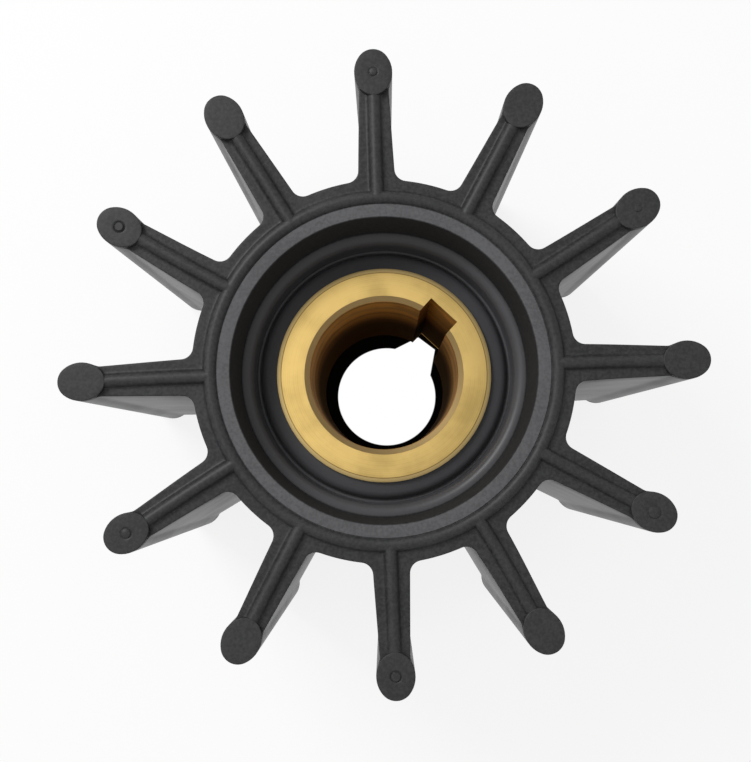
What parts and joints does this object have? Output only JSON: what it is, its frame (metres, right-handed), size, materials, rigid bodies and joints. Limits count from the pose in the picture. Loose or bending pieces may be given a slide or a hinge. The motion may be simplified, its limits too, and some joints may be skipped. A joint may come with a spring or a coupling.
{
  "type": "pump impeller",
  "caption": "Flexible-vane pump impeller: a rubber hub with straight radial vanes ending in round bulbs, moulded round a keyed brass bush.",
  "frame": {"origin": "on the shaft axis, level with the ends of the bulbs that the impeller rests on", "axes": "+Z along the shaft, out of the end that shows; +X along a vane; the keyway is at 45 degrees from +X towards +Y"},
  "size_m": [0.0826, 0.0826, 0.0638],
  "materials": {
    "rubber": "satin, as moulded",
    "brass": "fine turned"
  },
  "bodies": {
    "root": {"rubber_body": "rubber", "brass_bush": "brass"}
  },
  "joints": []
}
